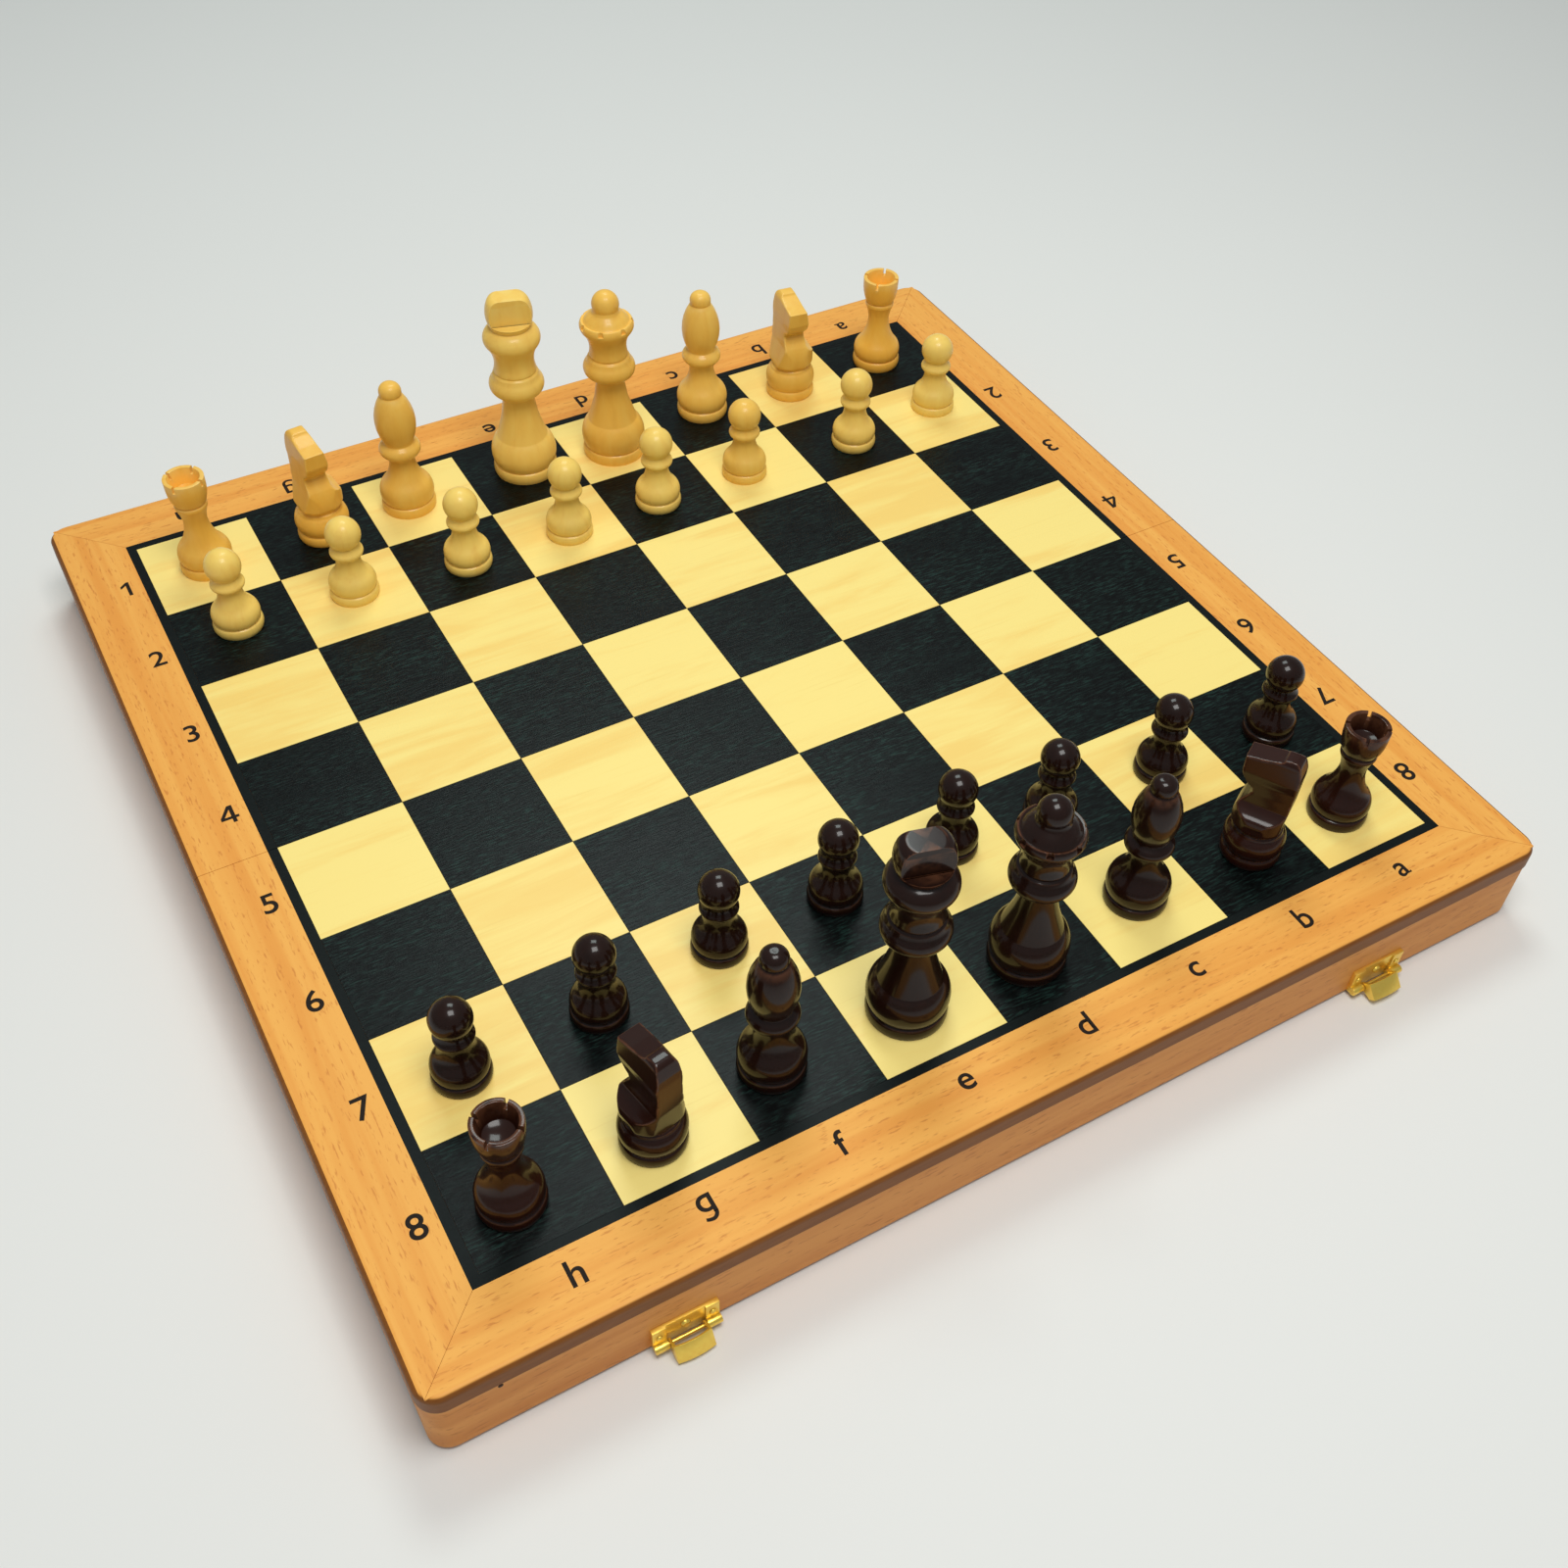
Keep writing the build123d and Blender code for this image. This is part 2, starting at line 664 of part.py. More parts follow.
def knight(x, y, turn):
    """A plain horse's head, turned below and sawn flat on its sides, back and forehead.

    The saw leaves more wood on the horse's right, and a shelf of the turned blank low on its left.
    """
    ahead = Vector(cos(radians(turn)), sin(radians(turn)), 0)
    across = Vector(0, 0, 1).cross(ahead)
    low = knight_foot_height
    top = knight_height
    chest = top - 20.8
    swell = low + 0.2 * (chest - low)
    waist = knight_waist_radius
    drum = knight_drum_radius
    with BuildPart() as head:
        with BuildSketch(Plane(origin=(x, y, top_z), x_dir=ahead, z_dir=-across)):
            with BuildLine():
                Polyline((-7.4, low), (waist, low), (8.6, swell))
                ThreePointArc((8.6, swell), (8.7, low + 0.6 * (chest - low)), (7.4, chest))
                ThreePointArc((7.4, chest), (5.9, top - 18.2), (4.4, top - 16.2))
                Line((4.4, top - 16.2), (4.8, top - 14.6))
                ThreePointArc((4.8, top - 14.6), (7.7, top - 12.7), (9.3, top - 9.2))
                Polyline(
                    (9.3, top - 9.2), (9.6, top - 3.4), (-1.6, top - 1.2), (-2.0, top - 0.3),
                    (-5.4, top), (-7.2, top - 1.2), (-8.4, top - 4.8), (-8.6, top - 7.8),
                    (-8.3, chest), (-7.4, low),
                )
            make_face()
        extrude(amount=2 * knight_base, both=True)
        right_side = [
            (-waist, low), (-7.8, swell), (-6.8, low + 5.8), (-5.4, chest), (-4.8, top - 11.8),
            (-5.0, top - 8.8), (-4.6, top - 2.8), (-4.1, top + 1.0),
        ]
        left_side = [
            (3.3, top + 1.0), (2.9, top - 2.8), (3.9, top - 8.8), (3.6, top - 11.8), (4.2, chest),
            (8.2, chest - 3.4), (8.9, chest - 5.4), (8.4, swell), (waist, low),
        ]
        with BuildSketch(Plane(origin=(x, y, top_z), x_dir=across, z_dir=ahead)):
            with BuildLine():
                Polyline(*right_side, *left_side, close=True)
            make_face()
        extrude(amount=2 * knight_base, both=True, mode=Mode.INTERSECT)
        with BuildSketch(Plane(origin=(x, y, top_z), x_dir=(1, 0, 0), z_dir=(0, -1, 0))):
            with BuildLine():
                Polyline(
                    (0, low), (waist, low), (drum, swell), (drum, chest), (13.0, top - 14.8),
                    (13.0, top + 1.0), (0, top + 1.0), close=True,
                )
            make_face()
        revolve(axis=Axis((x, y, 0), (0, 0, 1)), mode=Mode.INTERSECT)
        add(turned(knight_foot_outline, x, y))
    return head.part


def bishop(x, y, turn):
    return turned(bishop_outline, x, y)


def pawn(x, y, turn):
    return turned(pawn_outline, x, y)


makers = {"king": king, "queen": queen, "bishop": bishop, "knight": knight, "rook": rook, "pawn": pawn}

# Every man stands a little off the middle of its square, as a hand left it
files = "hgfedcba"
first_row = ("rook", "knight", "bishop", "king", "queen", "bishop", "knight", "rook")
off_middle = {
    "white_rook_h": (0.3, -0.2), "white_pawn_h": (0.3, 4.2),
    "white_knight_g": (2.8, -1.6), "white_pawn_g": (1.0, 1.8),
    "white_bishop_f": (-4.5, 0.3), "white_pawn_f": (2.3, -1.6),
    "white_king": (3.0, 1.4), "white_pawn_e": (1.4, -2.4),
    "white_queen": (-2.5, -4.0), "white_pawn_d": (-2.0, -1.0),
    "white_bishop_c": (-0.3, 4.0), "white_pawn_c": (-5.1, -0.1),
    "white_knight_b": (-2.5, 0.1), "white_pawn_b": (2.5, -2.4),
    "white_rook_a": (-0.5, 2.0), "white_pawn_a": (3.1, 4.0),
    "black_rook_h": (-4.9, -5.0), "black_pawn_h": (-1.4, -2.6),
    "black_knight_g": (-4.6, -5.8), "black_pawn_g": (0.5, -1.4),
    "black_bishop_f": (-6.0, -0.6), "black_pawn_f": (0.8, 2.8),
    "black_king": (-2.8, -1.8), "black_pawn_e": (0.1, 3.3),
    "black_queen": (-2.1, -3.0), "black_pawn_d": (1.7, 3.5),
    "black_bishop_c": (0.0, -0.1), "black_pawn_c": (-4.0, -0.6),
    "black_knight_b": (3.3, -2.0), "black_pawn_b": (-0.7, -1.3),
    "black_rook_a": (-2.0, -2.8), "black_pawn_a": (2.2, -4.4),
}
headings = {
    "white_knight_g": 276.0, "white_knight_b": 263.0, "black_knight_g": 101.0, "black_knight_b": 121.0,
}


def place(colour, kind, column, rank):
    """One man on its square, named by its colour, kind and file."""
    name = f"{colour}_{kind}"
    if kind not in ("king", "queen"):
        name += f"_{files[column]}"
    dx, dy = off_middle[name]
    x = (column - 3.5) * square + dx
    y = (4.5 - rank) * square + dy
    save(makers[kind](x, y, headings.get(name, 0.0)), name)


for colour, first_rank, pawn_rank in (("white", 1, 2), ("black", 8, 7)):
    for column, kind in enumerate(first_row):
        place(colour, kind, column, first_rank)
        place(colour, "pawn", column, pawn_rank)
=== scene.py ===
import math

import bmesh
import bpy
from mathutils import Euler, Matrix, Vector


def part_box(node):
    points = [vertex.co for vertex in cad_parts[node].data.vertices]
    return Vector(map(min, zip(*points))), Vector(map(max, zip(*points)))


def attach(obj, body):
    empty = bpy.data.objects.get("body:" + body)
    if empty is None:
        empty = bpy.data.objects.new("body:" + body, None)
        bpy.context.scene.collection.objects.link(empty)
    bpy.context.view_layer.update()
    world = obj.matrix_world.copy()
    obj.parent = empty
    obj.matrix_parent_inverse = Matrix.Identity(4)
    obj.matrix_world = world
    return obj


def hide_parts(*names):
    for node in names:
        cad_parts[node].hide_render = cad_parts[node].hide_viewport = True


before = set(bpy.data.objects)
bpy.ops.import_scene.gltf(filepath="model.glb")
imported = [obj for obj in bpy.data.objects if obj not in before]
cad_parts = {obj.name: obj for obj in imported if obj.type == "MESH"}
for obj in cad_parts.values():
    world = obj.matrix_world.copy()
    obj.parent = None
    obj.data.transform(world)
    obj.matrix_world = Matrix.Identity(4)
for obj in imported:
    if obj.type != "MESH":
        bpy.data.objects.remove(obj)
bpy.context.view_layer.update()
mm = 0.001
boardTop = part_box("rails_front")[1].z
print("frame loaded,", len(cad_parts), "nodes")


# Node helpers, so that each material below reads as its recipe
def addNode(tree, kind, values=None, **settings):
    node = tree.nodes.new("ShaderNode" + kind)
    for name, value in settings.items():
        setattr(node, name, value)
    for name, value in (values or {}).items():
        if isinstance(value, bpy.types.NodeSocket):
            tree.links.new(value, node.inputs[name])
        else:
            node.inputs[name].default_value = value
    return node


def calc(tree, operation, first, second=0.0, clamp=False):
    values = {0: first, 1: second}
    return addNode(tree, "Math", values, operation=operation, use_clamp=clamp).outputs[0]


def vectorCalc(tree, operation, first, second=(0, 0, 0)):
    return addNode(tree, "VectorMath", {0: first, 1: second}, operation=operation).outputs[0]


def blendColour(tree, share, first, second):
    values = {"Factor": share, 6: first, 7: second}
    return addNode(tree, "Mix", values, data_type="RGBA", blend_type="MIX", clamp_factor=True).outputs[2]


def fadeBetween(tree, value, low, high):
    values = {"Value": value, "From Min": low, "From Max": high}
    return addNode(tree, "MapRange", values, interpolation_type="SMOOTHSTEP").outputs[0]


def noiseOn(tree, vector, scale, detail=3.0, rough=0.55, distort=0.0):
    values = {"Vector": vector, "Scale": scale, "Detail": detail, "Roughness": rough, "Distortion": distort}
    return addNode(tree, "TexNoise", values).outputs["Fac"]


def objectPlace(tree):
    return addNode(tree, "TexCoord").outputs["Object"]


def linear(red, green, blue):
    # a colour given as 0 to 255 screen values, as Blender's colour sockets hold it
    parts = [c / 255 for c in (red, green, blue)]
    return tuple(p / 12.92 if p < 0.04045 else ((p + 0.055) / 1.055) ** 2.4 for p in parts) + (1.0,)


def darker(colour, share):
    return tuple(share * c for c in colour[:3]) + (1.0,)


def newMaterial(name):
    material = bpy.data.materials.new(name)
    material.use_nodes = True
    material.node_tree.nodes.clear()
    return material, material.node_tree


def closeMaterial(tree, colour, roughness, height=None, distance=0.0, strength=0.0, **constants):
    # height, distance and strength are the bump's
    values = {"Base Color": colour, "Roughness": roughness, **constants}
    shader = addNode(tree, "BsdfPrincipled", values)
    if height is not None:
        bump = addNode(tree, "Bump", {"Height": height, "Distance": distance, "Strength": strength})
        tree.links.new(bump.outputs[0], shader.inputs["Normal"])
    output = addNode(tree, "OutputMaterial")
    tree.links.new(shader.outputs[0], output.inputs["Surface"])


def grainVector(tree, look, turned=False):
    # place on the object, squeezed along the grain; turned lays the grain along Y instead of X
    along, across = look["along"], look["across"]
    scale = (across, along, across) if turned else (along, across, across)
    grain = vectorCalc(tree, "MULTIPLY", objectPlace(tree), scale)
    if turned:
        parts = addNode(tree, "SeparateXYZ", {0: grain}).outputs
        grain = addNode(tree, "CombineXYZ", {0: parts[1], 1: parts[0], 2: parts[2]}).outputs[0]
    return grain


def splitPlace(tree):
    return addNode(tree, "SeparateXYZ", {0: objectPlace(tree)}).outputs


# Playing squares: thin veneers, grain across the board, each cut from another spot
lightVeneer = {
    "pale": linear(254, 228, 136), "warm": linear(250, 212, 118), "streak": linear(230, 188, 96),
    "along": 12.0, "across": 90.0, "roughness": 0.42, "specular": 0.2, "coat": 0.12,
    "coatRoughness": 0.22,
}
# Dark squares: dark grain dashes, and a lighter greenish-grey with its share that is painted sheen, glints
# of the lacquer painted as colour on some dashes
darkVeneer = {
    "stain": linear(8, 15, 14), "pore": linear(1, 2, 2), "wearAndSheen": linear(42, 74, 66), "sheenShare": 0.4,
    "along": 60.0, "across": 420.0, "roughness": 0.34, "specular": 0.14,
}
squareSize = 0.042
squareShift = 40.0  # how far from each other in the plank two squares may be cut


def squareGrain(tree, look):
    # grain place shifted by a different amount on every square, and that square's own random value
    place = objectPlace(tree)
    cell = vectorCalc(tree, "FLOOR", vectorCalc(tree, "DIVIDE", place, (squareSize, squareSize, 1.0)))
    dice = addNode(tree, "TexWhiteNoise", {"Vector": cell}, noise_dimensions="3D")
    shift = vectorCalc(tree, "SCALE", dice.outputs["Color"])
    shift.node.inputs["Scale"].default_value = squareShift
    squeezed = vectorCalc(tree, "MULTIPLY", place, (look["along"], look["across"], look["across"]))
    return vectorCalc(tree, "ADD", squeezed, shift), dice.outputs["Value"]


def makeLightVeneer(look):
    material, tree = newMaterial("lightVeneer")
    grain, dice = squareGrain(tree, look)
    cloud = noiseOn(tree, grain, 1.0, 4.0, 0.6, 0.6)
    fine = noiseOn(tree, vectorCalc(tree, "MULTIPLY", grain, (2.0, 9.0, 9.0)), 1.0, 3.0, 0.6)
    ownTone = calc(tree, "MULTIPLY", calc(tree, "SUBTRACT", dice, 0.5), 0.24)
    tone = calc(tree, "ADD", cloud, ownTone)
    colour = blendColour(tree, fadeBetween(tree, tone, 0.42, 0.72), look["pale"], look["warm"])
    streaks = calc(tree, "MULTIPLY", fadeBetween(tree, fine, 0.58, 0.8), 0.22)
    colour = blendColour(tree, streaks, colour, look["streak"])
    roughness = calc(tree, "ADD", calc(tree, "MULTIPLY", fine, 0.14), look["roughness"] - 0.07)
    gloss = {
        "Specular IOR Level": look["specular"], "Coat Weight": look["coat"],
        "Coat Roughness": look["coatRoughness"],
    }
    closeMaterial(tree, colour, roughness, fine, 0.00004, 0.5, **gloss)
    return material


def makeDarkVeneer(look):
    material, tree = newMaterial("darkVeneer")
    grain = squareGrain(tree, look)[0]
    dashes = noiseOn(tree, grain, 4.0, 3.0, 0.65)
    broad = noiseOn(tree, vectorCalc(tree, "MULTIPLY", grain, (0.3, 0.2, 0.2)), 1.0, 3.0, 0.5)
    colour = blendColour(tree, fadeBetween(tree, dashes, 0.4, 0.52), look["pore"], look["stain"])
    patches = fadeBetween(tree, broad, 0.3, 0.65)
    # painted sheen: dashes inside broad patches are lifted toward the lighter greenish-grey, standing in
    # for glints on the grain
    sheenDashes = calc(tree, "MULTIPLY", fadeBetween(tree, dashes, 0.5, 0.66), patches)
    colour = blendColour(tree, calc(tree, "MULTIPLY", sheenDashes, look["sheenShare"]), colour, look["wearAndSheen"])
    roughness = calc(tree, "ADD", calc(tree, "MULTIPLY", broad, 0.12), look["roughness"] - 0.06)
    closeMaterial(tree, colour, roughness, dashes, 0.00012, 0.8, **{"Specular IOR Level": look["specular"]})
    return material


# Beech of the frame rails, walls and the panel under them
beechRail = {
    "base": linear(246, 178, 86), "deep": linear(236, 158, 70), "fleck": linear(200, 118, 50),
    "along": 260.0, "across": 1500.0,
}
wallBeech = {
    "base": linear(230, 158, 84), "deep": linear(216, 140, 68), "fleck": linear(186, 110, 52),
    "along": 200.0, "across": 1200.0,
}
edgeBand = {
    "base": linear(146, 90, 34), "deep": linear(112, 62, 22), "along": 120.0, "across": 900.0,
    # past the side line the brown is painted up to the top of the long sides, as painted shade
    "line": 0.0311, "lineFade": 0.0004, "shadedSideLine": 0.1936,
}
beechFinish = {"roughness": 0.5, "edgeRoughness": 0.45, "bump": 0.00003, "bumpStrength": 0.4}
woodGloss = {"Specular IOR Level": 0.22}


def beechColour(tree, look, grain):
    bands = noiseOn(tree, vectorCalc(tree, "MULTIPLY", grain, (0.02, 0.1, 0.1)), 1.0, 3.0, 0.6, 0.4)
    flecks = noiseOn(tree, grain, 1.0, 2.0, 0.5)
    colour = blendColour(tree, fadeBetween(tree, bands, 0.35, 0.68), look["base"], look["deep"])
    fleckShare = calc(tree, "MULTIPLY", fadeBetween(tree, flecks, 0.58, 0.72), 0.6)
    return blendColour(tree, fleckShare, colour, look["fleck"]), flecks


def closeBeech(tree, colour, roughness, height):
    bump, strength = beechFinish["bump"], beechFinish["bumpStrength"]
    closeMaterial(tree, colour, roughness, height, bump, strength, **woodGloss)


def makeRailBeech(look):
    # the grain turns at the mitres: along X on the end rails, along Y on the side rails
    material, tree = newMaterial("beechRail")
    place = splitPlace(tree)
    fromMiddle = [calc(tree, "ABSOLUTE", place[axis]) for axis in (0, 1)]
    side = calc(tree, "GREATER_THAN", *fromMiddle)
    grains = {"Factor": side, 4: grainVector(tree, look), 5: grainVector(tree, look, turned=True)}
    grain = addNode(tree, "Mix", grains, data_type="VECTOR").outputs[1]
    colour, flecks = beechColour(tree, look, grain)
    closeBeech(tree, colour, beechFinish["roughness"], flecks)
    return material


def makeWallBeech(name, look, turned):
    material, tree = newMaterial(name)
    colour, flecks = beechColour(tree, look, grainVector(tree, look, turned))
    closeBeech(tree, colour, beechFinish["roughness"], flecks)
    return material


def makeEdgeBand(look, rail):
    # the panel: brown moulded edge, with the rails' colour on the flat rim of its top.
    # On its two long sides the brown is painted right up to the top, as painted shade where the rounded
    # edge faces away from the light
    material, tree = newMaterial("edgeBand")
    place = splitPlace(tree)
    # painted shade: on the long sides the height is lowered so that the brown reaches the top
    onShadedSide = calc(tree, "GREATER_THAN", calc(tree, "ABSOLUTE", place[0]), look["shadedSideLine"])
    height = calc(tree, "SUBTRACT", place[2], onShadedSide)
    streaks = noiseOn(tree, grainVector(tree, look), 1.0, 3.0, 0.6)
    brown = blendColour(tree, streaks, look["base"], look["deep"])
    pale = blendColour(tree, streaks, rail["base"], rail["deep"])
    onRim = fadeBetween(tree, height, look["line"], look["line"] + look["lineFade"])
    closeBeech(tree, blendColour(tree, onRim, brown, pale), beechFinish["edgeRoughness"], streaks)
    return material


def makeInk(name, shade, roughness):
    material, tree = newMaterial(name)
    patches = noiseOn(tree, objectPlace(tree), 900.0, 3.0, 0.6)
    colour = blendColour(tree, patches, shade, darker(shade, 0.45))
    closeMaterial(tree, colour, roughness, **{"Specular IOR Level": 0.1})
    return material


# Wood of the men: grain runs up each man, and the sharp turned corners are rubbed pale
boxwood = {
    "pale": linear(254, 226, 124), "warm": linear(244, 180, 64), "streak": linear(232, 180, 84),
    "worn": linear(252, 230, 150), "wear": 0.3, "coat": 0.25, "specular": 0.25,
}
mahogany = {
    "pale": linear(14, 9, 6), "warm": linear(50, 20, 10), "streak": linear(8, 5, 4),
    "worn": linear(112, 70, 46), "wear": 0.7, "coat": 0.6, "specular": 0.06,
}
turnedGrain = {"across": 420.0, "up": 36.0, "roughness": 0.42, "coatRoughness": 0.13, "coatIndex": 1.45}


def makeTurnedWood(name, look):
    material, tree = newMaterial(name)
    across, up = turnedGrain["across"], turnedGrain["up"]
    grain = vectorCalc(tree, "MULTIPLY", objectPlace(tree), (across, across, up))
    rings = noiseOn(tree, grain, 0.5, 4.0, 0.6, 0.5)
    fine = noiseOn(tree, grain, 3.0, 2.0, 0.5)
    wear = addNode(tree, "Attribute", attribute_name="wear").outputs["Fac"]
    tone = addNode(tree, "Attribute", attribute_name="tone").outputs["Fac"]
    warmth = calc(tree, "ADD", calc(tree, "MULTIPLY", rings, 0.5), tone, clamp=True)
    colour = blendColour(tree, warmth, look["pale"], look["warm"])
    streaks = calc(tree, "MULTIPLY", fadeBetween(tree, rings, 0.5, 0.75), 0.22)
    colour = blendColour(tree, streaks, colour, look["streak"])
    wearAndSheen = fadeBetween(tree, noiseOn(tree, objectPlace(tree), 260.0, 3.0, 0.6), 0.3, 0.6)
    worn = calc(tree, "MULTIPLY", wear, calc(tree, "MULTIPLY", wearAndSheen, look["wear"]))
    colour = blendColour(tree, worn, colour, look["worn"])
    roughness = calc(tree, "ADD", calc(tree, "MULTIPLY", fine, 0.12), turnedGrain["roughness"] - 0.06)
    lacquer = {
        "Coat Weight": look["coat"], "Coat Roughness": turnedGrain["coatRoughness"],
        "Coat IOR": turnedGrain["coatIndex"], "Specular IOR Level": look["specular"],
    }
    closeMaterial(tree, colour, roughness, fine, 0.00003, 0.5, **lacquer)
    return material


goldBrass = {"base": linear(255, 226, 112), "deep": linear(244, 200, 84), "roughness": 0.34, "metal": 0.8}


def makeBrass(look):
    material, tree = newMaterial("goldBrass")
    smudge = noiseOn(tree, objectPlace(tree), 700.0, 4.0, 0.6)
    colour = blendColour(tree, smudge, look["base"], look["deep"])
    roughness = calc(tree, "ADD", calc(tree, "MULTIPLY", smudge, 0.16), look["roughness"] - 0.08)
    closeMaterial(tree, colour, roughness, smudge, 0.00002, 0.5, Metallic=look["metal"])
    return material


finishes = {
    "veneer_light": makeLightVeneer(lightVeneer),
    "veneer_dark": makeDarkVeneer(darkVeneer),
    "beech_rail": makeRailBeech(beechRail),
    "edge_brown": makeEdgeBand(edgeBand, beechRail),
    "wallAlongX": makeWallBeech("wallBeechEnds", wallBeech, False),
    "wallAlongY": makeWallBeech("wallBeechSides", wallBeech, True),
    "line_black": makeInk("lineBlack", linear(22, 28, 27), 0.4),
    "ink": makeInk("printedInk", linear(46, 37, 31), 0.6),
    "boxwood": makeTurnedWood("boxwood", boxwood),
    "dark_wood": makeTurnedWood("mahogany", mahogany),
    "brass": makeBrass(goldBrass),
    "darkSteel": makeInk("darkSteel", linear(70, 44, 30), 0.5),
}
print("materials made,", len(finishes))

# CAD nodes that stay, with their finish
boardFinish = {
    "board": "edge_brown", "light_squares": "veneer_light", "dark_squares": "veneer_dark",
    "border_line": "line_black", "rails": "beech_rail", "end_wall": "wallAlongX",
    "side_walls": "wallAlongY", "seam_wall": "wallAlongX", "hinge_leaves": "brass", "hinge_screws": "brass",
}
hardware = (
    "hinge_pins", "clasp_plates", "clasp_pins", "clasp_nails", "clasp_lever_left", "clasp_lever_right",
    "catch_plates", "catch_nails",
)


def repaint(node, finish):
    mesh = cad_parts[node].data
    mesh.materials.clear()
    mesh.materials.append(finishes[finish])


for kind, finish in boardFinish.items():
    for half in ("front", "rear"):
        repaint(f"{kind}_{half}", finish)
for node in hardware:
    repaint(node, "brass")

# Finished meshes, smooth except at edges sharper than this
sharpAngle = math.radians(32)


def keepPiece(bm, name, finish, body, nodes=()):
    for face in bm.faces:
        face.smooth = True
    mesh = bpy.data.meshes.new(name)
    bm.to_mesh(mesh)
    bm.free()
    mesh.set_sharp_from_angle(angle=sharpAngle)
    mesh.materials.append(finishes[finish])
    piece = bpy.data.objects.new(name, mesh)
    bpy.context.scene.collection.objects.link(piece)
    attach(piece, body)
    if nodes:
        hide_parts(*nodes)


# Brass fittings: the CAD's own shapes with their edges rolled over, and domed nail heads
rolledEdges = {
    "clasp_plates": ("front_half", 0.22), "clasp_nails": ("front_half", 0.3),
    "clasp_pins": ("front_half", 0.2), "clasp_lever_left": ("clasp_left", 0.2),
    "clasp_lever_right": ("clasp_right", 0.2), "catch_plates": ("rear_half", 0.2),
    "catch_nails": ("rear_half", 0.3),
}
rolling = {"weld": 0.005, "flatAngle": math.radians(1), "cornerAngle": math.radians(40)}


def rollEdges(node, body, width):
    bm = bmesh.new()
    bm.from_mesh(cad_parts[node].data)
    bmesh.ops.remove_doubles(bm, verts=bm.verts, dist=rolling["weld"] * mm)
    bmesh.ops.dissolve_limit(bm, angle_limit=rolling["flatAngle"], verts=bm.verts, edges=bm.edges)
    sharp = rolling["cornerAngle"]
    corners = [edge for edge in bm.edges if edge.is_manifold and edge.calc_face_angle() > sharp]
    bmesh.ops.bevel(
        bm, geom=corners, offset=width * mm, offset_type="OFFSET", affect="EDGES", segments=3, profile=0.5,
        material=-1, clamp_overlap=True,
    )
    bmesh.ops.recalc_face_normals(bm, faces=bm.faces)
    keepPiece(bm, f"{node}_rolled", "brass", body, (node,))


for node, (body, width) in rolledEdges.items():
    rollEdges(node, body, width)

# Small nail sunk in the front wall near its left corner
nailMark = {"x": -174.1, "height": 23.0, "radius": 0.75, "rim": 0.1, "length": 2.0, "proud": 0.12}


def makeNailMark(look):
    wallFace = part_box("end_wall_front")[0].y
    radius = look["radius"] * mm
    bm = bmesh.new()
    bmesh.ops.create_cone(
        bm, cap_ends=True, segments=24, radius1=radius, radius2=radius, depth=look["length"] * mm,
    )
    rims = [edge for edge in bm.edges if edge.calc_face_angle() > 1]
    bmesh.ops.bevel(
        bm, geom=rims, offset=look["rim"] * mm, affect="EDGES", segments=2, profile=0.5, material=-1,
    )
    bmesh.ops.rotate(bm, cent=(0, 0, 0), matrix=Matrix.Rotation(math.pi / 2, 3, "X"), verts=bm.verts)
    middle = wallFace + (look["length"] / 2 - look["proud"]) * mm
    bmesh.ops.translate(bm, vec=(look["x"] * mm, middle, look["height"] * mm), verts=bm.verts)
    keepPiece(bm, "wall_nail_front", "darkSteel", "front_half")


makeNailMark(nailMark)
print("fittings rolled")


# Turned men. An outline is (radius, height) in millimetres, with the bulge of an arc as a third number
def footStrokes(base, lip, drawIn, bandTop):
    lower, groove = base - 0.4, base - 1.1
    return [
        (lower, 0), (lower, lip, 0.4), (groove, lip + 0.35), (base - 0.7, lip + 0.7),
        (base - drawIn, bandTop, 0.13 * (bandTop - lip)), (base - drawIn - 0.7, bandTop + 0.7),
    ]


def ballStrokes(neck, radius, top):
    below = math.acos(neck / radius)
    middle = top - radius
    return [
        (neck, middle - radius * math.sin(below)),
        (radius, middle, radius * (1 - math.cos(below / 2))),
        (0, top, radius * (1 - math.cos(math.pi / 4))),
    ]


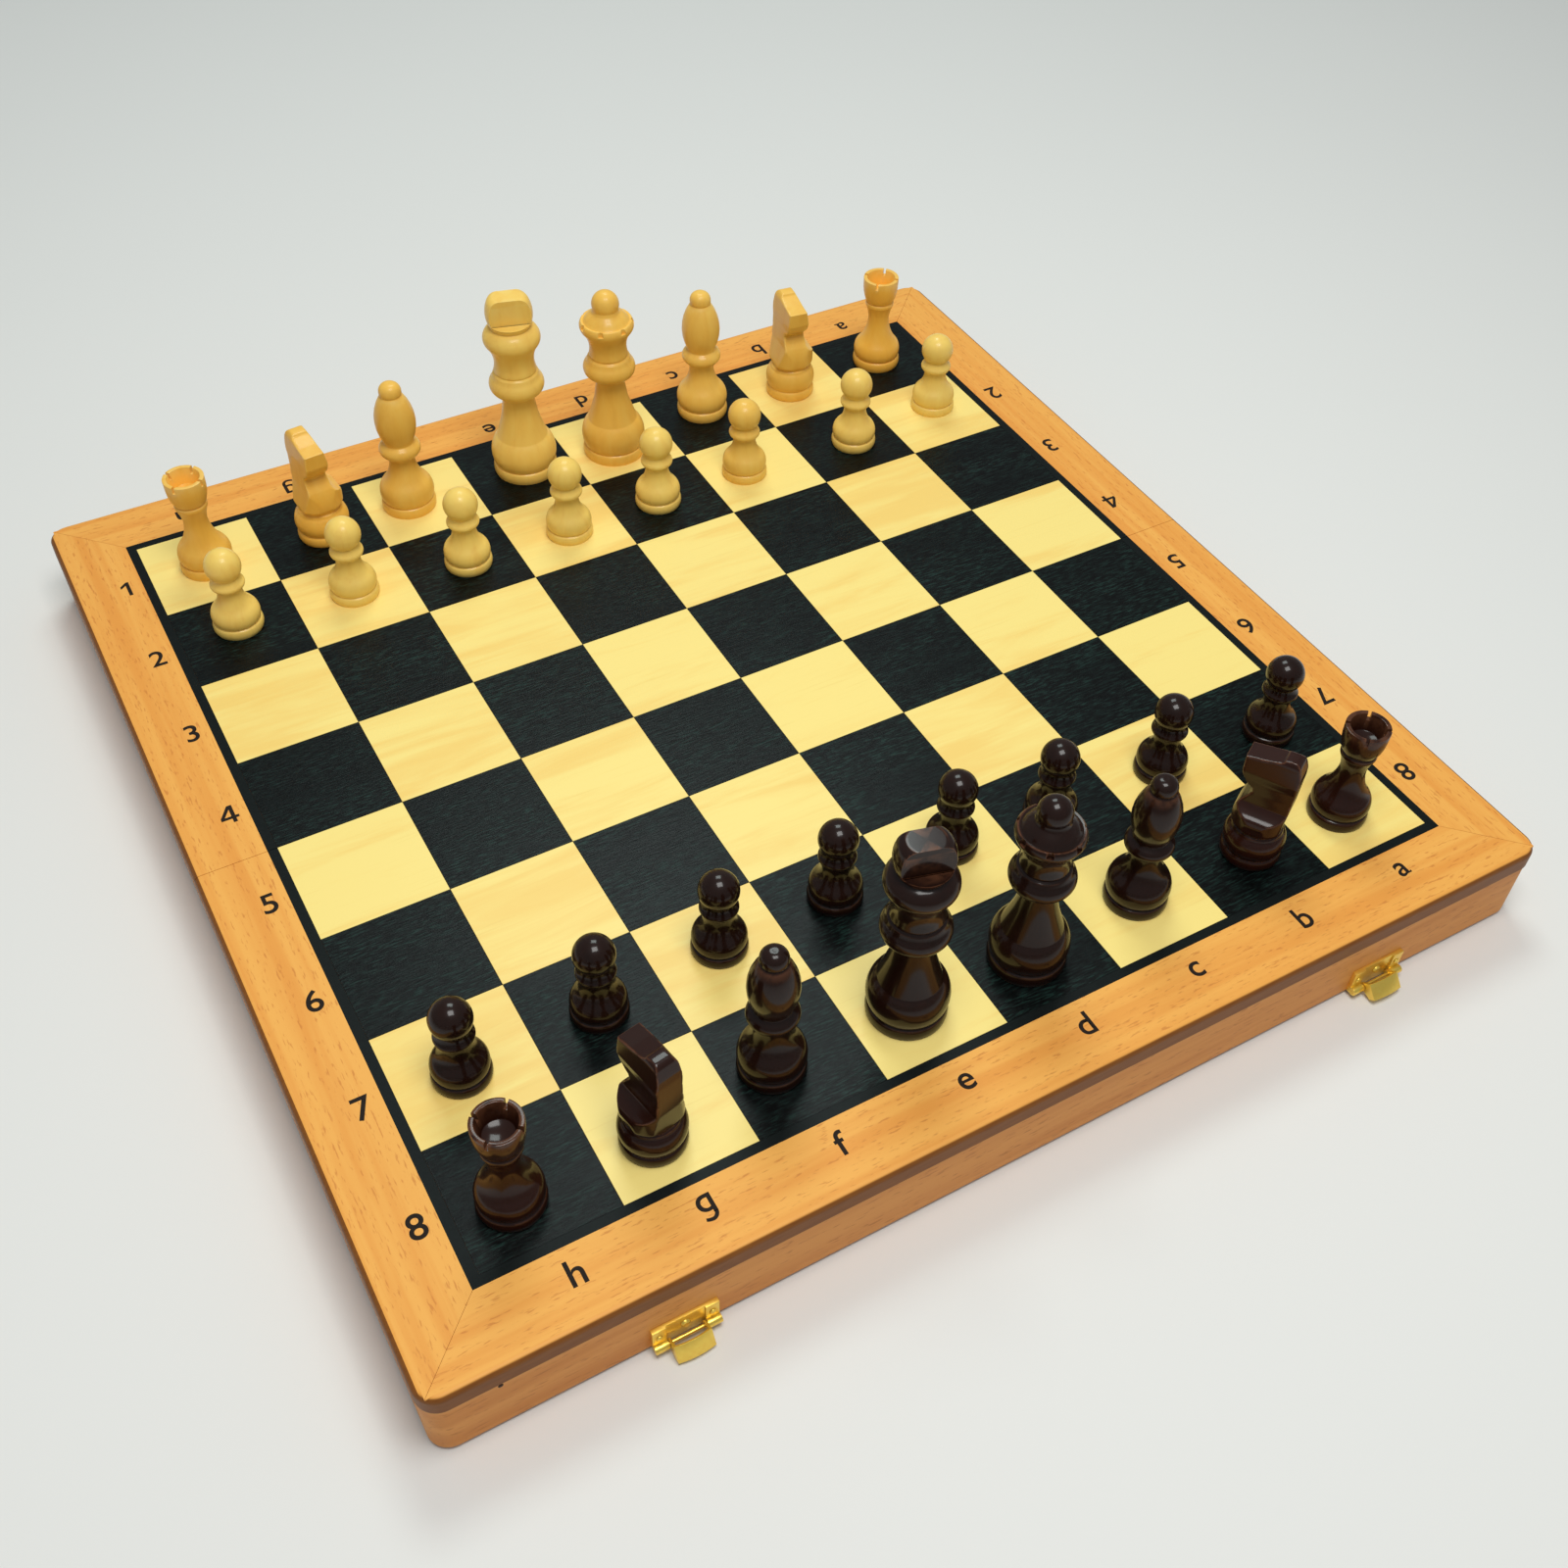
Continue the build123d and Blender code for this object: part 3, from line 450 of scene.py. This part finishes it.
men = {
    "king": {
        "strokes": footStrokes(12.5, 4.2, 2.0, 15.8) + [
            (5.8, 35.0, -0.7), (9.2, 36.6), (9.5, 42.6, 1.25), (9.0, 43.4), (8.7, 44.6), (7.9, 45.2),
            (8.2, 46.0), (10.3, 57.4, -1.45), (10.2, 61.9, 0.65), (8.2, 63.8, 0.2), (7.3, 64.2),
            (7.9, 65.0), (8.0, 74.3, 0.95), (5.6, 76.5, 0.4), (5.0, 76.5), (0, 76.5),
        ],
        "flats": 8.0, "turn": -15.0, "flatsFrom": 66.5, "block": 20.0, "flatArea": 20.0, "flatRim": 0.35,
    },
    "queen": {
        "strokes": footStrokes(12.4, 4.2, 2.1, 15.4) + [
            (5.2, 34.6, -0.7), (8.8, 36.2), (9.0, 42.0, 1.3), (8.6, 42.8), (8.2, 43.8), (7.2, 44.3),
            (7.6, 45.2), (9.8, 55.5, -1.3), (9.7, 59.6, 0.75), (8.9, 59.3), (5.4, 62.9, 0.3),
        ] + ballStrokes(4.9, 5.3, 71.5),
        "notches": 7, "firstNotch": 27.0, "notchRadius": 1.1, "notchHeight": 10.0, "rim": 10.5,
        "rimHeight": 57.6,
    },
    "bishop": {
        "strokes": footStrokes(10.4, 3.8, 1.7, 12.2) + [
            (5.0, 23.4, -1.1), (6.9, 24.6), (6.8, 28.8, 1.0), (5.6, 29.6), (5.8, 30.6), (4.5, 49.3, 2.45),
            (3.8, 49.9), (4.2, 50.6), (4.2, 51.9), (0, 54.8, 1.15),
        ],
    },
    "rook": {
        "strokes": footStrokes(10.0, 3.8, 1.7, 10.8) + [
            (4.3, 22.0, -0.8), (5.6, 27.4, -0.2), (5.9, 28.0), (5.9, 29.2), (5.3, 29.7), (6.0, 30.3),
            (7.2, 36.0, 0.25), (7.3, 40.3), (5.8, 40.3), (4.6, 34.1), (0, 33.1),
        ],
        "slit": 1.1, "slitDepth": 2.5, "sawLength": 40.0, "sawHeight": 10.0, "top": 40.3,
    },
    "pawn": {
        "strokes": footStrokes(9.0, 3.4, 1.7, 9.8) + [
            (4.5, 18.0, -0.8), (5.6, 18.7), (5.6, 20.9, 0.5),
        ] + ballStrokes(4.6, 6.4, 33.8),
    },
}
turning = {
    "segments": 72, "arcStep": math.radians(9), "cornerRound": 0.22, "cornerAngle": math.radians(24),
}


def strokePoints(strokes):
    points = [Vector((strokes[0][0], 0, strokes[0][1]))]
    for stroke in strokes[1:]:
        start, end = points[-1], Vector((stroke[0], 0, stroke[1]))
        bulge = stroke[2] if len(stroke) > 2 else 0
        if bulge:
            chord = end - start
            sweep = 4 * math.atan(2 * abs(bulge) / chord.length)
            radius = chord.length / 2 / math.sin(sweep / 2)
            outward = Vector((chord.z, 0, -chord.x)).normalized() * math.copysign(1, bulge)
            centre = (start + end) / 2 + outward * (abs(bulge) - radius)
            steps = max(2, math.ceil(sweep / turning["arcStep"]))
            turnBy = math.copysign(sweep / steps, -bulge)
            for step in range(1, steps):
                points.append(centre + Matrix.Rotation(turnBy * step, 3, "Y") @ (start - centre))
        points.append(end)
    return points


def turnedBody(strokes):
    bm = bmesh.new()
    verts = [bm.verts.new(point) for point in strokePoints(strokes)]
    edges = [bm.edges.new(pair) for pair in zip(verts, verts[1:])]
    corners = []
    for vert in verts[1:-1]:
        before, after = (edge.other_vert(vert).co - vert.co for edge in vert.link_edges)
        if math.pi - before.angle(after) > turning["cornerAngle"]:
            corners.append(vert)
    bmesh.ops.bevel(
        bm, geom=corners, offset=turning["cornerRound"], offset_type="OFFSET", affect="VERTICES",
        segments=2, profile=0.5, material=-1, clamp_overlap=True,
    )
    bmesh.ops.spin(
        bm, geom=bm.verts[:] + bm.edges[:], axis=(0, 0, 1), cent=(0, 0, 0), dvec=(0, 0, 0),
        angle=2 * math.pi, steps=turning["segments"], use_merge=True, use_normal_flip=False,
        use_duplicate=False,
    )
    bmesh.ops.remove_doubles(bm, verts=bm.verts, dist=0.001)
    openEdges = [edge for edge in bm.edges if edge.is_boundary]
    if openEdges:
        bmesh.ops.holes_fill(bm, edges=openEdges, sides=0)
    bmesh.ops.recalc_face_normals(bm, faces=bm.faces)
    return bm


def cutWith(bm, cutters, operation="DIFFERENCE"):
    # Boolean of one bmesh with a list of others; returns a new bmesh
    body = bpy.data.objects.new("body", bpy.data.meshes.new("body"))
    bm.to_mesh(body.data)
    bm.free()
    bpy.context.scene.collection.objects.link(body)
    tools = []
    for cutter in cutters:
        tool = bpy.data.objects.new("tool", bpy.data.meshes.new("tool"))
        cutter.to_mesh(tool.data)
        cutter.free()
        bpy.context.scene.collection.objects.link(tool)
        modifier = body.modifiers.new("cut", "BOOLEAN")
        modifier.operation = operation
        modifier.solver = "EXACT"
        modifier.object = tool
        tools.append(tool)
    result = evaluatedShape(body)
    for old in [body, *tools]:
        bpy.data.objects.remove(old)
    return result


def evaluatedShape(body):
    bpy.context.view_layer.update()
    evaluated = body.evaluated_get(bpy.context.evaluated_depsgraph_get())
    bm = bmesh.new()
    bm.from_mesh(evaluated.to_mesh())
    evaluated.to_mesh_clear()
    return bm


def turnAbout(bm, degrees, axis="Z"):
    turn = Matrix.Rotation(math.radians(degrees), 3, axis)
    bmesh.ops.rotate(bm, cent=(0, 0, 0), matrix=turn, verts=bm.verts)


def bar(width, depth, height, centre, turn=0.0):
    bm = bmesh.new()
    bmesh.ops.create_cube(bm, size=1.0)
    bmesh.ops.scale(bm, vec=(width, depth, height), verts=bm.verts)
    turnAbout(bm, turn)
    bmesh.ops.translate(bm, vec=centre, verts=bm.verts)
    return bm


def rod(radius, height, centre):
    bm = bmesh.new()
    bmesh.ops.create_cone(bm, cap_ends=True, segments=24, radius1=radius, radius2=radius, depth=height)
    bmesh.ops.translate(bm, vec=centre, verts=bm.verts)
    return bm


def makeKing(look):
    # a barrel finial with two parallel flats sawn on it, and a fine rim left round each flat
    block, saws = look["block"], []
    for side in (-1, 1):
        outward = Vector((0, side * (look["flats"] + block) / 2, 0))
        away = Matrix.Rotation(math.radians(look["turn"]), 3, "Z") @ outward
        middle = away + Vector((0, 0, look["flatsFrom"] + block / 2))
        saws.append(bar(3 * block, block, block, middle, look["turn"]))
    bm = cutWith(turnedBody(look["strokes"]), saws)
    flats = [face for face in bm.faces if face.calc_area() > look["flatArea"]]
    bmesh.ops.inset_individual(bm, faces=flats, thickness=look["flatRim"], use_even_offset=True)
    return bm


def makeQueen(look):
    files = []
    height = look["rimHeight"] + look["notchHeight"] / 2
    for notch in range(look["notches"]):
        angle = math.radians(look["firstNotch"]) + 2 * math.pi * notch / look["notches"]
        spot = Vector((look["rim"] * math.cos(angle), look["rim"] * math.sin(angle), height))
        files.append(rod(look["notchRadius"], look["notchHeight"], spot))
    return cutWith(turnedBody(look["strokes"]), files)


def makeRook(look):
    middle = Vector((0, 0, look["top"] - look["slitDepth"] + look["sawHeight"] / 2))
    size = (look["sawLength"], look["slit"], look["sawHeight"])
    saws = [bar(*size, middle, turn) for turn in (45, 135)]
    return cutWith(turnedBody(look["strokes"]), saws)


# Knight's head: a side outline and a front outline sawn out of a turned blank, then sanded
knightLook = {
    "foot": footStrokes(10.0, 3.8, 1.1, 11.6) + [(8.2, 13.2), (0, 13.2)],
    "side": [
        (-7.4, 13.2), (7.2, 13.2), (8.6, 15.4), (7.4, 24.0, 0.7), (4.4, 28.6, -0.15), (4.8, 30.2),
        (9.3, 35.6, 0.8), (9.6, 41.4), (-1.6, 43.6, -0.2), (-2.0, 44.4), (-5.4, 44.8, 0.1),
        (-7.2, 43.6, 0.2), (-8.4, 40.0), (-8.6, 37.0), (-8.3, 24.0),
    ],
    "front": [
        (-7.2, 13.2), (7.2, 13.2), (8.4, 15.4), (8.9, 18.6), (8.2, 20.6), (4.2, 24.0, -0.3),
        (3.6, 33.0, -0.1), (3.9, 36.0), (2.9, 42.0), (1.6, 45.0, 0.3), (-2.6, 45.0), (-4.6, 42.0, 0.4),
        (-5.0, 36.0), (-4.8, 33.0), (-5.4, 24.0, -0.1), (-6.8, 19.0), (-7.8, 15.4),
    ],
    "blank": [(0, 13.2), (7.2, 13.2), (9.2, 15.4), (9.2, 24.0), (13.0, 30.0), (13.0, 47.0), (0, 47.0)],
    "plankWidth": 30, "voxel": 0.3, "smoothing": 4,
}
headings = {
    "white_knight_g": 276.0, "white_knight_b": 263.0, "black_knight_g": 101.0, "black_knight_b": 121.0,
}


def plate(points, thickness, across=False):
    # a flat outline in its own plane, given thickness both ways; across stands it across the head
    bm = bmesh.new()
    verts = [bm.verts.new(point) for point in points]
    face = bm.faces.new(verts)
    grown = bmesh.ops.extrude_face_region(bm, geom=[face])
    moved = [part for part in grown["geom"] if isinstance(part, bmesh.types.BMVert)]
    bmesh.ops.translate(bm, vec=(0, thickness, 0), verts=moved)
    bmesh.ops.translate(bm, vec=(0, -thickness / 2, 0), verts=bm.verts)
    if across:
        turnAbout(bm, 90)
    bmesh.ops.recalc_face_normals(bm, faces=bm.faces)
    return bm


def makeKnight(look):
    head = plate(strokePoints(look["side"]), look["plankWidth"])
    front = plate(strokePoints(look["front"]), look["plankWidth"], across=True)
    head = cutWith(head, [front, turnedBody(look["blank"])], "INTERSECT")
    whole = cutWith(head, [turnedBody(look["foot"])], "UNION")
    carved = bpy.data.objects.new("carved", bpy.data.meshes.new("carved"))
    whole.to_mesh(carved.data)
    whole.free()
    bpy.context.scene.collection.objects.link(carved)
    remesh = carved.modifiers.new("remesh", "REMESH")
    remesh.mode = "VOXEL"
    remesh.voxel_size = look["voxel"]
    bm = evaluatedShape(carved)
    bpy.data.objects.remove(carved)
    for sanding in range(look["smoothing"]):
        bmesh.ops.smooth_vert(
            bm, verts=bm.verts, factor=0.5, use_axis_x=True, use_axis_y=True, use_axis_z=True,
        )
    return bm


# How warm each man's wood is, from pale 0 to orange 1; the others have the plain tone
tones = {
    "white_queen": 0.5, "white_king": 0.25, "white_rook_h": 0.6, "white_rook_a": 0.65,
    "white_knight_g": 0.6, "white_knight_b": 0.5, "white_bishop_f": 0.5, "white_bishop_c": 0.4,
    "white_pawn_c": 0.4, "white_pawn_b": 0.15,
    "black_rook_h": 0.4, "black_knight_g": 0.35, "black_knight_b": 0.5, "black_rook_a": 0.35,
}
plainTone = 0.1
wearAngles = (math.radians(11), math.radians(26))


def markWear(bm, tone):
    # corners that bend more than the first angle start to show wear, and show it fully at the second
    wear = bm.verts.layers.float.new("wear")
    tint = bm.verts.layers.float.new("tone")
    low, high = wearAngles
    for vert in bm.verts:
        bend = max((edge.calc_face_angle_signed(0.0) for edge in vert.link_edges), default=0.0)
        vert[wear] = min(1.0, max(0.0, (bend - low) / (high - low)))
        vert[tint] = tone


def footMiddle(node):
    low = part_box(node)[0].z
    foot = [vert.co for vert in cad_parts[node].data.vertices if vert.co.z < low + 3 * mm]
    middleX = (min(co.x for co in foot) + max(co.x for co in foot)) / 2
    middleY = (min(co.y for co in foot) + max(co.y for co in foot)) / 2
    return Vector((middleX, middleY, low))


def setMan(pattern, node):
    bm = pattern.copy()
    markWear(bm, tones.get(node, plainTone))
    turnAbout(bm, headings.get(node, 0.0))
    bmesh.ops.scale(bm, vec=(mm, mm, mm), verts=bm.verts)
    bmesh.ops.translate(bm, vec=footMiddle(node), verts=bm.verts)
    wood = "boxwood" if node.startswith("white") else "dark_wood"
    keepPiece(bm, f"{node}_turned", wood, f"{node}_man", (node,))


makers = {"king": makeKing, "queen": makeQueen, "rook": makeRook}
for kind in ("king", "queen", "bishop", "knight", "rook", "pawn"):
    if kind == "knight":
        pattern = makeKnight(knightLook)
    elif kind in makers:
        pattern = makers[kind](men[kind])
    else:
        pattern = turnedBody(men[kind]["strokes"])
    for node in [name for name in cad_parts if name.split("_")[1] == kind]:
        setMan(pattern, node)
    print(kind, "faces", len(pattern.faces))
    pattern.free()

# Printed coordinates on the rails: letters read from the front, and upside down on the far sides
coordinates = {
    "letters": "hgfedcba", "numbers": "12345678", "square": 42.0, "digitHeight": 8.2, "boldness": 0.14,
    "letterLine": 179.4, "numberLineLeft": -177.3, "numberLineRight": 178.7, "thickness": 0.03,
    "frontShift": {"h": 1.4, "g": -1.5, "f": -1.4, "e": -1.1, "d": -1.0, "c": -0.7},
    "capShare": 0.72,  # height of a digit as a share of the font's size
}
# marks that the built-in font draws otherwise: a 1 with its flag, a bold 4, and a q made into a g
drawnMarks = {
    "1": {"letter": "", "outline": [
        (0.5, 0), (1.8, 0), (1.8, 7.95), (0.8, 7.95), (-1.5, 6.1), (-1.5, 4.7), (0.5, 6.2),
    ]},
    "4": {"letter": "", "outline": [
        (3.5, 0), (4.8, 0), (4.8, 1.8), (5.9, 1.8), (5.9, 2.95), (4.8, 2.95), (4.8, 7.95), (3.2, 7.95),
        (0, 3.0), (0, 1.8), (3.5, 1.8),
    ], "hole": [(1.35, 2.95), (3.5, 2.95), (3.5, 6.2)]},
    "g": {"letter": "q", "cutBelow": -0.9, "outline": [
        (5.15, -0.7), (2.8, -3.3, -0.7), (0.7, -2.75, -0.12), (0.95, -1.75), (2.8, -2.15, 0.1),
        (3.97, -0.7, 0.35),
    ]},
}


def fontMesh(letter, look):
    curve = bpy.data.curves.new("mark", "FONT")
    curve.body = letter
    curve.size = look["digitHeight"] / look["capShare"]
    curve.offset = look["boldness"]
    curve.extrude = look["thickness"] / 2
    marker = bpy.data.objects.new("mark", curve)
    bpy.context.scene.collection.objects.link(marker)
    bpy.context.view_layer.update()
    mesh = bpy.data.meshes.new_from_object(marker)
    bpy.data.objects.remove(marker)
    return mesh


def addShape(bm, part):
    mesh = bpy.data.meshes.new("mark")
    part.to_mesh(mesh)
    part.free()
    bm.from_mesh(mesh)


def drawnStroke(drawn, look):
    stroke = plate(strokePoints(drawn["outline"]), look["thickness"])
    if "hole" in drawn:
        stroke = cutWith(stroke, [plate(strokePoints(drawn["hole"]), 1.0)])
    turnAbout(stroke, -90, "X")
    return stroke


def printMark(bm, sign, x, y, turn, look):
    # one letter or number in millimetres, centred on its own box, then laid in its place
    drawn = drawnMarks.get(sign, {"letter": sign})
    mark = bmesh.new()
    if drawn["letter"]:
        mark.from_mesh(fontMesh(drawn["letter"], look))
        bmesh.ops.remove_doubles(mark, verts=mark.verts, dist=0.0001)
    if "cutBelow" in drawn:
        bmesh.ops.bisect_plane(
            mark, geom=mark.verts[:] + mark.edges[:] + mark.faces[:], plane_co=(0, drawn["cutBelow"], 0),
            plane_no=(0, 1, 0), clear_inner=True,
        )
        openEdges = [edge for edge in mark.edges if edge.is_boundary]
        bmesh.ops.holes_fill(mark, edges=openEdges, sides=0)
    if "outline" in drawn:
        addShape(mark, drawnStroke(drawn, look))
    xs, ys = ([vert.co[axis] for vert in mark.verts] for axis in (0, 1))
    middle = Vector((min(xs) + max(xs), min(ys) + max(ys), 0)) / 2
    bmesh.ops.translate(mark, vec=-middle, verts=mark.verts)
    turnAbout(mark, turn)
    bmesh.ops.scale(mark, vec=(mm, mm, mm), verts=mark.verts)
    spot = Vector((x * mm, y * mm, boardTop + look["thickness"] / 2 * mm))
    bmesh.ops.translate(mark, vec=spot, verts=mark.verts)
    addShape(bm, mark)


def printHalf(half, look):
    bm = bmesh.new()
    side = -1 if half == "front" else 1
    for column, letter in enumerate(look["letters"]):
        x = (column - 3.5) * look["square"]
        if side < 0:
            x += look["frontShift"].get(letter, 0)
        printMark(bm, letter, x, side * look["letterLine"], 0 if side < 0 else 180, look)
    for number in look["numbers"]:
        y = (4.5 - int(number)) * look["square"]
        if y * side < 0:
            continue
        printMark(bm, number, look["numberLineLeft"], y, 0, look)
        printMark(bm, number, look["numberLineRight"], y, 180, look)
    keepPiece(bm, f"coordinates_{half}", "ink", f"{half}_half")


for half in ("front", "rear"):
    printHalf(half, coordinates)
print("coordinates printed")

# Studio: a wide pale floor that curves up at its rim, so that low views end on it too
studio = {
    "floorRadius": 3.0, "rimRadius": 0.9, "floorColour": linear(236, 234, 230),
    "worldColour": linear(232, 238, 242), "worldStrength": 0.34,
}


def makeFloor(look):
    material, tree = newMaterial("paleFloor")
    cloud = noiseOn(tree, objectPlace(tree), 2.2, 3.0, 0.5)
    colour = blendColour(tree, cloud, look["floorColour"], darker(look["floorColour"], 0.97))
    closeMaterial(tree, colour, 0.9)
    bm = bmesh.new()
    radius, rim = look["floorRadius"], look["rimRadius"]
    steps = [math.pi / 2 * step / 12 for step in range(13)]
    points = [(0, 0, 0)] + [(radius + rim * math.sin(a), 0, rim * (1 - math.cos(a))) for a in steps]
    verts = [bm.verts.new(point) for point in points]
    edges = [bm.edges.new(pair) for pair in zip(verts, verts[1:])]
    bmesh.ops.spin(
        bm, geom=verts + edges, axis=(0, 0, 1), cent=(0, 0, 0), dvec=(0, 0, 0),
        angle=2 * math.pi, steps=96, use_merge=True, use_normal_flip=False, use_duplicate=False,
    )
    bmesh.ops.remove_doubles(bm, verts=bm.verts, dist=0.0001)
    for face in bm.faces:
        face.smooth = True
    bmesh.ops.recalc_face_normals(bm, faces=bm.faces)
    mesh = bpy.data.meshes.new("floor")
    bm.to_mesh(mesh)
    bm.free()
    mesh.materials.append(material)
    floor = bpy.data.objects.new("floor", mesh)
    bpy.context.scene.collection.objects.link(floor)


# Lamps: place and size in metres, power in watts; each looks at the middle of the board
lamps = {
    "softbox": {"place": (-0.06, -0.3, 1.0), "size": (0.46, 0.4), "power": 5.8, "colour": (1.0, 1.0, 0.98)},
    "window": {"place": (0.27, 0.6, 1.25), "size": (0.5, 0.45), "power": 5.6, "colour": (0.88, 1.0, 0.98)},
}


def addLamp(name, look):
    lamp = bpy.data.lights.new(name, "AREA")
    lamp.shape = "RECTANGLE"
    lamp.size, lamp.size_y = look["size"]
    lamp.energy = look["power"]
    lamp.color = look["colour"]
    holder = bpy.data.objects.new(name, lamp)
    bpy.context.scene.collection.objects.link(holder)
    holder.location = look["place"]
    holder.rotation_euler = (-Vector(look["place"])).to_track_quat("-Z", "Y").to_euler()


makeFloor(studio)
world = bpy.data.worlds.new("studioWorld")
bpy.context.scene.world = world
world.use_nodes = True
backdrop = world.node_tree.nodes["Background"]
backdrop.inputs["Color"].default_value = studio["worldColour"]
backdrop.inputs["Strength"].default_value = studio["worldStrength"]
for name, look in lamps.items():
    addLamp(name, look)

# Camera, fitted to the photograph's angle
camera = {
    "place": (-0.20585, -0.38284, 0.44437), "tilt": 42.089, "turn": -31.550, "roll": 2.523,
    "lens": 38.66, "sensor": 36.0, "shiftX": -0.01354, "shiftY": 0.01582,
}
lens = bpy.data.cameras.new("camera")
lens.lens = camera["lens"]
lens.sensor_width = camera["sensor"]
lens.shift_x = camera["shiftX"]
lens.shift_y = camera["shiftY"]
lens.clip_start = 0.01
eye = bpy.data.objects.new("camera", lens)
bpy.context.scene.collection.objects.link(eye)
aim = Euler((math.radians(camera["tilt"]), 0, math.radians(camera["turn"]))).to_matrix()
aim = aim @ Matrix.Rotation(math.radians(camera["roll"]), 3, "Z")
eye.matrix_world = Matrix.Translation(camera["place"]) @ aim.to_4x4()
bpy.context.scene.camera = eye
bpy.context.scene.view_settings.view_transform = "Standard"
print("studio and camera set")
